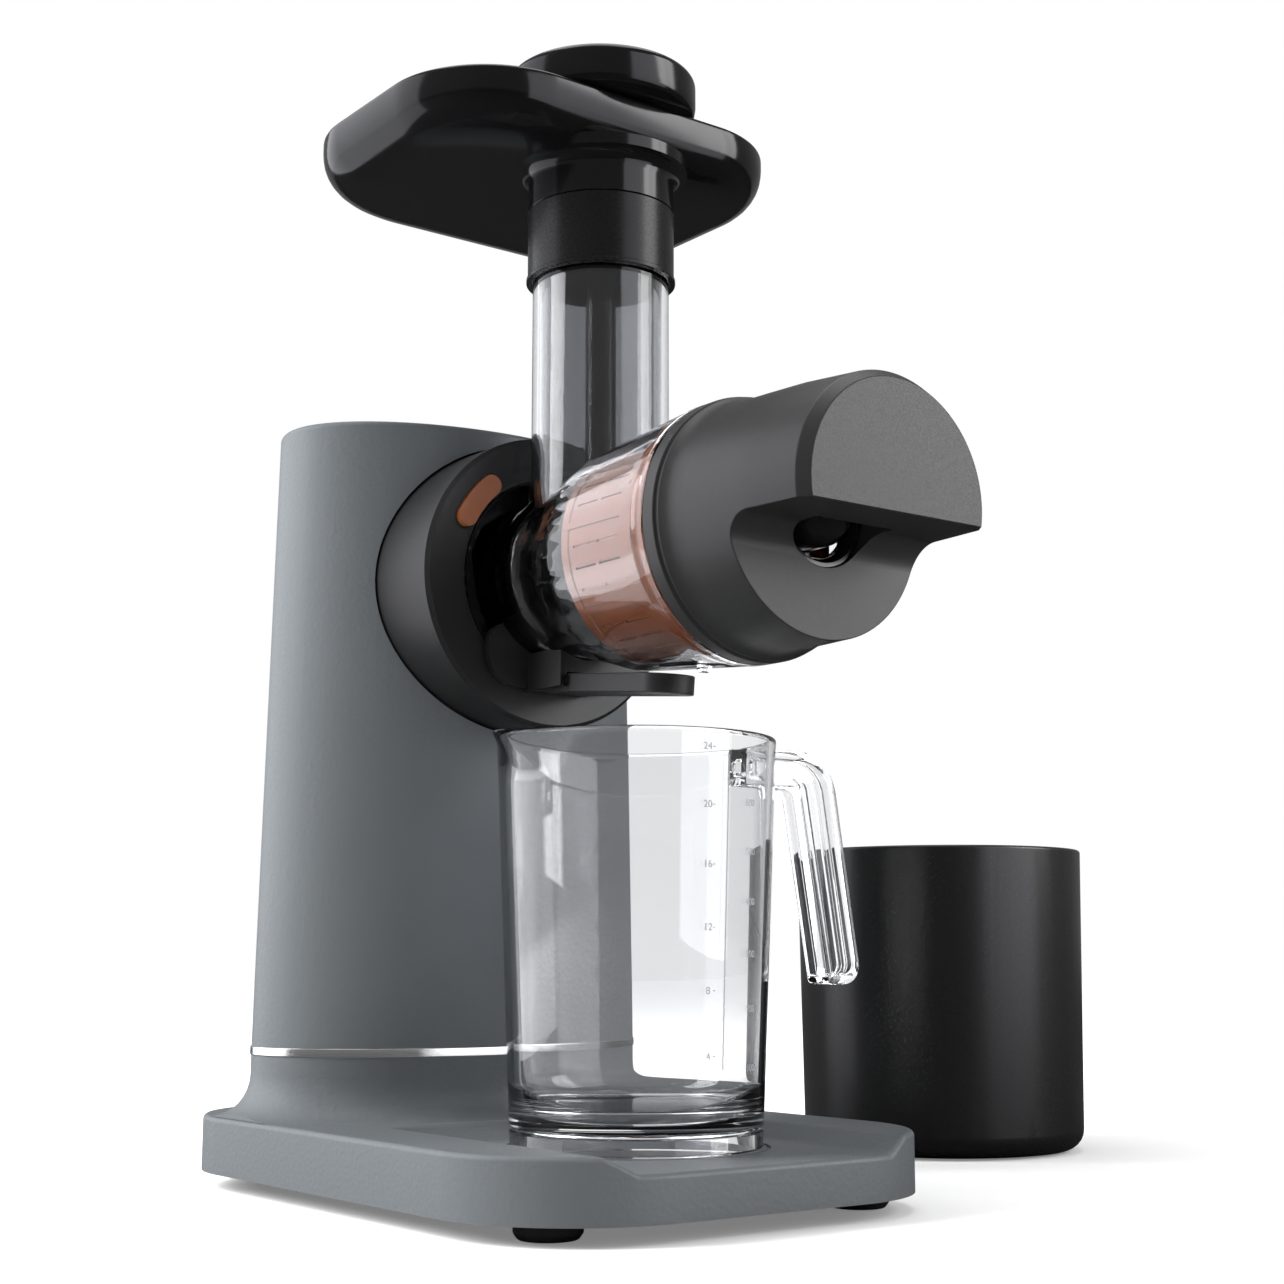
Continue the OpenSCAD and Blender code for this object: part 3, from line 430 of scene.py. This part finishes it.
def roundChosen(piece, chosen, width, segments=5):
    # rounds the sharp edges whose two ends, in millimetres, are chosen
    unselectParts("EDGE")
    sides = edgeNormals(piece)
    verts = piece.data.vertices
    count = 0
    for edge in piece.data.edges:
        first, second = (verts[i].co / mm for i in edge.vertices)
        normals = sides[edge.key]
        sharp = len(normals) == 2 and normals[0].angle(normals[1]) > math.radians(20)
        edge.select = sharp and chosen(first, second)
        count += edge.select
    bpy.ops.object.mode_set(mode="EDIT")
    bpy.ops.mesh.bevel(offset=width * mm, segments=segments, affect="EDGES", clamp_overlap=False,
                        loop_slide=False)
    bpy.ops.mesh.select_all(action="SELECT")
    bpy.ops.mesh.normals_make_consistent(inside=False)
    bpy.ops.object.mode_set(mode="OBJECT")
    bpy.ops.object.shade_smooth_by_angle(angle=math.radians(35))
    addModifier(piece, "WEIGHTED_NORMAL", "cleanShading", keep_sharp=True, weight=60)
    print("edges rounded:", piece.name, count)


shell = {
    "bayFloor": 20.0, "bayTop": 25.3,         # heights of the bay's floor and of the base's top
    "bayWall": -48.0, "bayLines": (50, 60),   # the bay's back wall, and the foot and top of its side slopes
    "floorShift": -6, "topShift": 4,          # how far the back wall's long edges move, so that it leans
    "topRound": 1.8, "towerRound": 2.4,
    "jugRing": 47.0, "jugFront": 100.7,       # reach of the jug's groove, and its distance from the tower
    "opening": 42.0, "openingFront": -43.0,   # reach of the wiring opening
    "near": 0.1,
}


def slideWall(piece, height, shift):
    # moves one long edge of the bay's back wall forward or backward
    unselectParts("VERT")
    near = shell["near"]
    for vert in piece.data.vertices:
        place = vert.co / mm
        onWall = abs(place.y - shell["bayWall"]) < near and abs(place.x) < shell["bayLines"][1] + 1
        vert.select = onWall and abs(place.z - height) < near
    bpy.ops.object.mode_set(mode="EDIT")
    bpy.ops.transform.translate(value=(0, shift * mm, 0))
    bpy.ops.object.mode_set(mode="OBJECT")


def dissolveSlopes(piece):
    # each side slope of the bay becomes one face, so that the bevel runs evenly over it
    unselectParts("EDGE")
    sides = edgeNormals(piece)
    verts = piece.data.vertices
    near = shell["near"]
    low, high = shell["bayLines"]
    for edge in piece.data.edges:
        ends = [verts[i].co / mm for i in edge.vertices]
        normals = sides[edge.key]
        flat = len(normals) == 2 and normals[0].angle(normals[1]) < math.radians(1)
        onSlope = all(low - near < abs(end.x) < high + near for end in ends)
        above = all(end.z > shell["bayFloor"] - near for end in ends)
        tilted = abs(normals[0].x) > 0.2 and normals[0].z > 0.2
        edge.select = flat and onSlope and above and tilted
    bpy.ops.object.mode_set(mode="EDIT")
    bpy.ops.mesh.dissolve_edges(use_verts=False)
    bpy.ops.object.mode_set(mode="OBJECT")


def onBaseRim(first, second):
    # the outer top edge and the edges of the bay, but not the jug's groove or the wiring opening
    low = min(first.z, second.z)
    middle = (first + second) / 2
    aroundJug = math.hypot(middle.x, middle.y + shell["jugFront"]) < shell["jugRing"]
    groove = aroundJug and low < shell["bayFloor"] + 1
    opening = math.hypot(first.x, first.y) < shell["opening"] and first.y > shell["openingFront"]
    return low > shell["bayFloor"] - shell["near"] and not (groove or opening)


def onTowerTop(first, second):
    return min(first.z, second.z) > towerTop - 0.05


baseShell = reshapedCopy("base_plate", "baseShell", "slateShell", False)
slideWall(baseShell, shell["bayFloor"], shell["floorShift"])
slideWall(baseShell, shell["bayTop"], shell["topShift"])
dissolveSlopes(baseShell)
roundChosen(baseShell, onBaseRim, shell["topRound"])
keepPiece(baseShell, "housing", "slate_shell", "base_plate")
towerCover = reshapedCopy("tower_shell", "towerCover", "slateShell", True)
towerTop = max(vert.co.z for vert in towerCover.data.vertices) / mm
roundChosen(towerCover, onTowerTop, shell["towerRound"])
keepPiece(towerCover, "housing", "slate_shell", "tower_shell")

# ---- jug ----
jug = {
    "centre": (0, -0.1007, 0),
    "footRadius": 41.7, "rimRadius": 47.3,
    "bottom": 20.1, "top": 154.2,
    "wall": 2.2, "floor": 9.0, "floorRound": 13.0, "ring": 5.4,
    "spoutReach": 9.5, "spoutHeight": 17.0, "spoutSpread": 17.0,
    # corners as (x, height, radius): the handle's outline, and the panel sunk into both its sides
    "handle": [(43, 154.2, 0), (84.2, 154.2, 17), (97.95, 71.9, 7),
               (81.5, 71.8, 2.5), (69.4, 141.2, 5), (43, 141.2, 0)],
    "panel": [(54, 151, 2), (81.5, 151, 13.8), (94.2, 75.1, 3.8),
              (84.2, 75.1, 2), (72.1, 144.4, 5), (54, 144.4, 2)],
    "handleHalf": 5.5, "handleRecess": 3.4,
    "cutLow": 60, "cutHigh": 160,
}


def jugRadius(height):
    share = (height - jug["bottom"]) / (jug["top"] - jug["bottom"])
    return jug["footRadius"] + (jug["rimRadius"] - jug["footRadius"]) * share


def jugProfile():
    low, top, wall = jug["bottom"], jug["top"], jug["wall"]
    inside = low + jug["floor"]
    bend = jug["floorRound"]
    under = inside - wall
    ring = jug["ring"]
    foot = [(0, under), (36, under), (37.4, under - 0.4), (38.3, under - 1.4), (38.7, low + 0.5), (39.2, low),
            (41.2, low), (41.7, low + 0.5), (jugRadius(low + ring), low + ring)]
    groove = [(41.1, low + ring + 0.5), (41.1, low + ring + 1.1),
              (jugRadius(low + ring + 1.8), low + ring + 1.8)]
    heights = [low + 16, 60, 90, 120] + [126 + 2 * i for i in range(14)]
    outer = [(jugRadius(z), z) for z in heights]
    rim = arcPoints((jugRadius(top) - wall / 2, top - wall / 2), wall / 2, 0, 180, 6)
    inner = [(jugRadius(z) - wall, z) for z in reversed(heights) if z > inside + bend + 4]
    curve = arcPoints((jugRadius(inside + bend) - wall - bend, inside + bend), bend, 0, -90, 10)
    return foot + groove + outer + rim + inner + curve + [(0, inside)]


def pullSpout(piece):
    # the rim runs out into a pouring lip towards -X
    centre = Vector(jug["centre"])
    for vert in piece.data.vertices:
        out = Vector((vert.co.x - centre.x, vert.co.y - centre.y, 0))
        climb = (vert.co.z / mm - jug["top"] + jug["spoutHeight"]) / jug["spoutHeight"]
        if climb <= 0 or out.length < 30 * mm:
            continue
        turn = math.degrees(math.atan2(out.y, -out.x)) / jug["spoutSpread"]
        vert.co += Vector((-1, 0, 0)) * jug["spoutReach"] * mm * climb ** 1.9 * math.exp(-turn * turn)


def flatSolid(name, corners, front, back, finish):
    # an outline in the XZ plane, drawn out along Y, all in millimetres
    points = [Vector((x * mm, jug["centre"][1] + front * mm, z * mm)) for x, z in roundedOutline(corners)]
    piece = startPoint(name, points[0])
    extrudeAlong(points + points[:1])
    bpy.ops.mesh.select_all(action="SELECT")
    bpy.ops.mesh.remove_doubles(threshold=joinGap)
    bpy.ops.mesh.edge_face_add()
    bpy.ops.mesh.extrude_region_move(TRANSFORM_OT_translate={"value": (0, (back - front) * mm, 0)})
    finishShape(piece, finish)
    return piece


def jugHandle():
    half, recess = jug["handleHalf"], jug["handleRecess"]
    piece = flatSolid("jugHandle", jug["handle"], -half, half, "clearJug")
    for side in (-1, 1):
        near, far = sorted((side * (half - recess), side * (half + 2)))
        combine(piece, flatSolid("handlePanel", jug["panel"], near, far, "clearJug"), "DIFFERENCE")
    applyModifier(piece, "BEVEL", "softEdges", width=0.5 * mm, segments=2, limit_method="ANGLE",
                  angle_limit=math.radians(50))
    return piece


jugBody = turnedPiece("jugBody", jugProfile(), jug["centre"], (0, 0, 1), "clearJug", steps=144, angle=40)
pullSpout(jugBody)

# the handle's inner end is cut off to stop inside the jug's wall
low, high = jug["cutLow"], jug["cutHigh"]
cutProfile = [(0, low), (jugRadius(low) - 1, low), (jugRadius(high) - 1, high), (0, high)]
jugBlank = turnedPiece("jugBlank", cutProfile, jug["centre"], (0, 0, 1), "clearJug", steps=144)
handle = jugHandle()
combine(handle, jugBlank, "DIFFERENCE")
combine(jugBody, handle, "UNION")
pickPiece(jugBody)
bpy.ops.object.shade_smooth_by_angle(angle=math.radians(35))
keepPiece(jugBody, "jug", "clear_plastic", "juice_jug")

# measuring scale: a line with plain numbers on both sides, as (number, azimuth, height)
scale = {
    "left": [("24", -98.1, 148), ("20", -97.7, 129.6), ("16", -97.2, 110.7), ("12", -96.7, 90.9),
             ("8", -96.2, 71.1), ("4", -95.6, 50.7)],
    "right": [("700", -75.4, 146), ("600", -74.6, 130.8), ("500", -73.6, 115.1), ("400", -72.7, 99.1),
              ("300", -71.6, 82.5), ("200", -70.4, 65.1), ("100", -69.0, 46.5)],
    "line": (-87.8, 46.5, 146), "lineWidth": 0.35, "lineParts": 24, "lineJoin": 0.05,
    "digit": 3.3, "relief": 0.07, "lift": 0.1, "tickTurn": 3.0, "tickSize": 0.7,
}


def onJugWall(piece, azimuth, height):
    # stands a flat mark, made in the XY plane, upright on the jug's wall
    pickPiece(piece)
    bpy.ops.object.mode_set(mode="EDIT")
    bpy.ops.mesh.select_all(action="SELECT")
    bpy.ops.transform.rotate(value=math.radians(-90), orient_axis="X", center_override=(0, 0, 0))
    bpy.ops.transform.rotate(value=math.radians(-(azimuth + 90)), orient_axis="Z", center_override=(0, 0, 0))
    reach = (jugRadius(height) + scale["lift"]) * mm
    turn = math.radians(azimuth)
    place = (reach * math.cos(turn), jug["centre"][1] + reach * math.sin(turn), height * mm)
    bpy.ops.transform.translate(value=place)
    bpy.ops.object.mode_set(mode="OBJECT")
    return piece


def numberMark(text, azimuth, height):
    bpy.ops.object.text_add(location=(0, 0, 0))
    label = bpy.context.object
    label.data.body = text
    label.data.size = scale["digit"] * mm
    label.data.extrude = scale["relief"] * mm
    label.data.align_x = "CENTER"
    label.data.align_y = "CENTER"
    bpy.ops.object.convert(target="MESH")
    return onJugWall(bpy.context.object, azimuth, height)


def barMark(width, tall, azimuth, height):
    clearSelection()
    bpy.ops.mesh.primitive_cube_add(size=1)
    bar = bpy.context.object
    bpy.ops.object.mode_set(mode="EDIT")
    size = (width * mm, tall * mm, 2 * scale["relief"] * mm)
    bpy.ops.transform.resize(value=size, center_override=(0, 0, 0))
    bpy.ops.object.mode_set(mode="OBJECT")
    return onJugWall(bar, azimuth, height)


marks = []
for text, azimuth, height in scale["left"]:
    marks.append(numberMark(text, azimuth, height))
    marks.append(barMark(scale["tickSize"], scale["lineWidth"], azimuth + scale["tickTurn"], height))
for text, azimuth, height in scale["right"]:
    marks.append(numberMark(text, azimuth, height))
# the line follows the slope of the wall in short pieces
azimuth, low, high = scale["line"]
parts = scale["lineParts"]
tall = (high - low) / parts + scale["lineJoin"]
for i in range(parts):
    marks.append(barMark(scale["lineWidth"], tall, azimuth, low + (high - low) * (i + 0.5) / parts))
clearSelection()
for mark in marks:
    mark.select_set(True)
bpy.context.view_layer.objects.active = marks[-1]
bpy.ops.object.join()
jugMarks = bpy.context.object
jugMarks.name = "jugMarks"
bpy.ops.object.mode_set(mode="EDIT")
finishShape(jugMarks, "scaleInk")
keepPiece(jugMarks, "jug", "clear_plastic")

# ---- feed tray ----
tray = {
    "half": 77.8, "front": -104.1, "back": 19.2, "top": 383.0, "corner": 41.3, "cornerSteps": 28,
    "ringDepth": 1.7,    # the first ring, from which both sides are drawn
    # rings as (inset from the edge, depth below the rim)
    "outside": [(0, 5), (0.15, 7), (0.5, 9.3), (1.2, 11.5), (2.2, 13.5), (3.6, 15.4), (5.4, 17), (7.6, 18.2),
                (10.2, 19.1), (13.4, 19.7), (18, 20.2), (26, 20.5)],
    "inside": [(0.1, 1.1), (0.35, 0.6), (0.75, 0.2), (1.3, 0), (1.8, 0.1), (2.3, 0.5), (2.6, 1.1), (2.8, 3),
               (3.1, 6), (3.6, 8.6), (4.5, 10.8), (6, 12.6), (8, 14), (10.6, 15.1), (14, 16), (19, 16.7),
               (27, 17)],
    # profiles round the chute's axis as (radius, height)
    "neck": [(24.9, 347.3), (26.2, 347.3), (26.4, 347.5), (26.4, 357)],
    "filletCentre": (31.4, 357.4), "filletRadius": 5,
    "neckTop": [(31.4, 366.5), (0, 366.5), (0, 358.4), (24.9, 358.4), (24.9, 347.3)],
    "throat": [(0, 340), (22.1, 340), (22.1, 365.2), (23.3, 366.6), (23.3, 375), (0, 375)],
    "chuteFront": -79.2,
}


def stepRing(last, inset, depth):
    # carries the selected ring from its last inset and depth to the next
    halfX, halfY = tray["half"], (tray["back"] - tray["front"]) / 2
    middle = (0, (tray["back"] + tray["front"]) / 2 * mm, (tray["top"] - depth) * mm)
    bpy.ops.mesh.extrude_region_move(TRANSFORM_OT_translate={"value": (0, 0, -(depth - last[1]) * mm)})
    grow = ((halfX - inset) / (halfX - last[0]), (halfY - inset) / (halfY - last[0]), 1)
    bpy.ops.transform.resize(value=grow, center_override=middle)
    return inset, depth


def trayBowl():
    half, front, back, corner = tray["half"], tray["front"], tray["back"], tray["corner"]
    corners = [(-half, front, corner), (half, front, corner), (half, back, corner), (-half, back, corner)]
    height = tray["top"] - tray["ringDepth"]
    outline = roundedOutline(corners, tray["cornerSteps"])
    points = [Vector((x * mm, y * mm, height * mm)) for x, y in outline]
    piece = startPoint("trayShell", points[0])
    extrudeAlong(points + points[:1])
    bpy.ops.mesh.select_all(action="SELECT")
    bpy.ops.mesh.remove_doubles(threshold=joinGap)
    last = (0, tray["ringDepth"])
    for inset, depth in tray["outside"]:
        last = stepRing(last, inset, depth)
    bpy.ops.mesh.edge_face_add()
    # back to the open ring, then over the rim and down into the dish
    bpy.ops.mesh.select_all(action="DESELECT")
    bpy.ops.mesh.select_mode(type="EDGE")
    bpy.ops.mesh.select_non_manifold()
    last = (0, tray["ringDepth"])
    for inset, depth in tray["inside"]:
        last = stepRing(last, inset, depth)
    bpy.ops.mesh.edge_face_add()
    bpy.ops.mesh.select_mode(type="VERT")
    finishShape(piece, "glossBlack")
    return piece


trayShell = trayBowl()
chuteAxis = (0, tray["chuteFront"] * mm, 0)
fillet = arcPoints(tray["filletCentre"], tray["filletRadius"], 180, 90, 6)
neckProfile = tray["neck"] + fillet + tray["neckTop"]
trayNeck = turnedPiece("trayNeck", neckProfile, chuteAxis, (0, 0, 1), "glossBlack", steps=96)
combine(trayShell, trayNeck, "UNION")
trayThroat = turnedPiece("trayThroat", tray["throat"], chuteAxis, (0, 0, 1), "glossBlack", steps=96)
combine(trayShell, trayThroat, "DIFFERENCE")
pickPiece(trayShell)
bpy.ops.object.shade_smooth_by_angle(angle=math.radians(35))
keepPiece(trayShell, "tray", "gloss_black", "feed_tray")

# ---- pusher knob ----
knob = {"radius": 34.5, "low": 384.3, "top": 400.0, "edge": 3.4}


def knobProfile():
    radius, low, top, edge = knob["radius"], knob["low"], knob["top"], knob["edge"]
    under = [(0, low), (radius - 2, low), (radius - 1.2, low + 0.3), (radius - 0.5, low + 1.2)]
    side = [(radius, low + 4), (radius, top - 6)]
    shoulder = arcPoints((radius - edge, top - 1.2 - edge), edge, 0, 78, 8)
    crown = [(26, top - 0.6), (18, top - 0.25), (9, top - 0.05), (0, top)]
    return under + side + shoulder + crown


knobPiece = turnedPiece("pusherCap", knobProfile(), chuteAxis, (0, 0, 1), "glossBlack", steps=128, angle=40)
keepPiece(knobPiece, "pusher", "gloss_black", "pusher_knob")

# ---- floor, backdrop and lights ----
studio = {
    "floorSize": 9.0,
    "floorHeight": -0.0004,    # just under the feet
    "floorColour": 0.84,
    "floorInGloss": 0.05,      # what glossy surfaces see of the floor
    "whiteNear": 0.20,         # added for rays that look at the floor, near the object
    "whiteFar": 0.75,          # and far from it, so that it meets the backdrop
    "nearReach": 0.35, "farReach": 1.2,
    "worldLevel": 0.38,
    "glossLevel": 0.26,        # what glossy surfaces see of the backdrop
}


def lookingRays(tree):
    # 1 for camera and see-through rays, 0 for the rest
    path = addNode(tree, "ShaderNodeLightPath")
    either = addNode(tree, "ShaderNodeMath", operation="MAXIMUM")
    tree.links.new(path.outputs["Is Camera Ray"], either.inputs[0])
    tree.links.new(path.outputs["Is Transmission Ray"], either.inputs[1])
    return path, either.outputs[0]


def paleStage():
    mat, tree, shader = newMaterial("paleStage")
    path, looking = lookingRays(tree)
    plain, inGloss = (studio["floorColour"],) * 3, (studio["floorInGloss"],) * 3
    # rays through clear plastic count as glossy too, so those that look are left out
    mirrored = addNode(tree, "ShaderNodeMath", operation="SUBTRACT", use_clamp=True)
    tree.links.new(path.outputs["Is Glossy Ray"], mirrored.inputs[0])
    tree.links.new(looking, mirrored.inputs[1])
    tree.links.new(mixColour(tree, mirrored.outputs[0], plain, inGloss), shader.inputs["Base Color"])
    shader.inputs["Roughness"].default_value = 0.8
    shader.inputs["Specular IOR Level"].default_value = 0.0
    shader.inputs["Emission Color"].default_value = (1, 1, 1, 1)
    away = addNode(tree, "ShaderNodeVectorMath", operation="LENGTH")
    tree.links.new(objectCoords(tree), away.inputs[0])
    white = remap(tree, away.outputs["Value"], studio["nearReach"], studio["farReach"], studio["whiteNear"],
                  studio["whiteFar"])
    lit = addNode(tree, "ShaderNodeMath", operation="MULTIPLY")
    tree.links.new(white, lit.inputs[0])
    tree.links.new(looking, lit.inputs[1])
    tree.links.new(lit.outputs[0], shader.inputs["Emission Strength"])
    return mat


clearSelection()
bpy.ops.mesh.primitive_plane_add(size=studio["floorSize"], location=(0, 0, studio["floorHeight"]))
floor = bpy.context.object
floor.name = "studioFloor"
floor.data.materials.append(paleStage())

world = bpy.data.worlds.new("studioWorld")
bpy.context.scene.world = world
world.use_nodes = True
tree = world.node_tree
background = tree.nodes["Background"]
path, looking = lookingRays(tree)
gloss = remap(tree, path.outputs["Is Glossy Ray"], 0, 1, studio["worldLevel"], studio["glossLevel"])
level = addNode(tree, "ShaderNodeMix", data_type="FLOAT")
tree.links.new(looking, level.inputs["Factor"])
tree.links.new(gloss, level.inputs["A"])
level.inputs["B"].default_value = 1.0
tree.links.new(level.outputs["Result"], background.inputs["Strength"])
background.inputs["Color"].default_value = (1, 1, 1, 1)

lamps = {
    "keySoftbox": {"place": (-1.28, 0.65, 1.0), "aim": (0, -0.05, 0.2), "size": (0.9, 1.2), "watts": 66},
    "fillSoftbox": {"place": (1.2, -1.2, 0.9), "aim": (0, -0.05, 0.2), "size": (0.7, 1.3), "watts": 19},
    "topSoftbox": {"place": (0.1, 0.1, 1.7), "aim": (0, 0, 0.2), "size": (1.2, 1.2), "watts": 12},
    # tall white panels that only show in reflections, one behind the left side and one to the front right
    "sidePanel": {"place": (-0.36, 0.30, 0.42), "aim": (0, -0.12, 0.42), "size": (0.62, 0.84), "watts": 3.1},
    "frontPanel": {"place": (0.45, -1.2, 0.6), "aim": (0, -0.1, 0.6), "size": (1.0, 1.2), "watts": 9},
}
for name, lamp in lamps.items():
    data = bpy.data.lights.new(name, "AREA")
    data.shape = "RECTANGLE"
    data.size, data.size_y = lamp["size"]
    data.energy = lamp["watts"]
    data.color = (0.94, 0.95, 1.0) if name.endswith("Panel") else (1, 1, 1)
    obj = bpy.data.objects.new(name, data)
    obj.location = lamp["place"]
    aim = Vector(lamp["aim"]) - obj.location
    obj.rotation_euler = aim.to_track_quat("-Z", "Y").to_euler()
    obj.visible_camera = False
    obj.visible_diffuse = not name.endswith("Panel")
    obj.visible_glossy = name != "keySoftbox"
    bpy.context.scene.collection.objects.link(obj)
bpy.context.scene.view_settings.view_transform = "Standard"
print("studio ready")
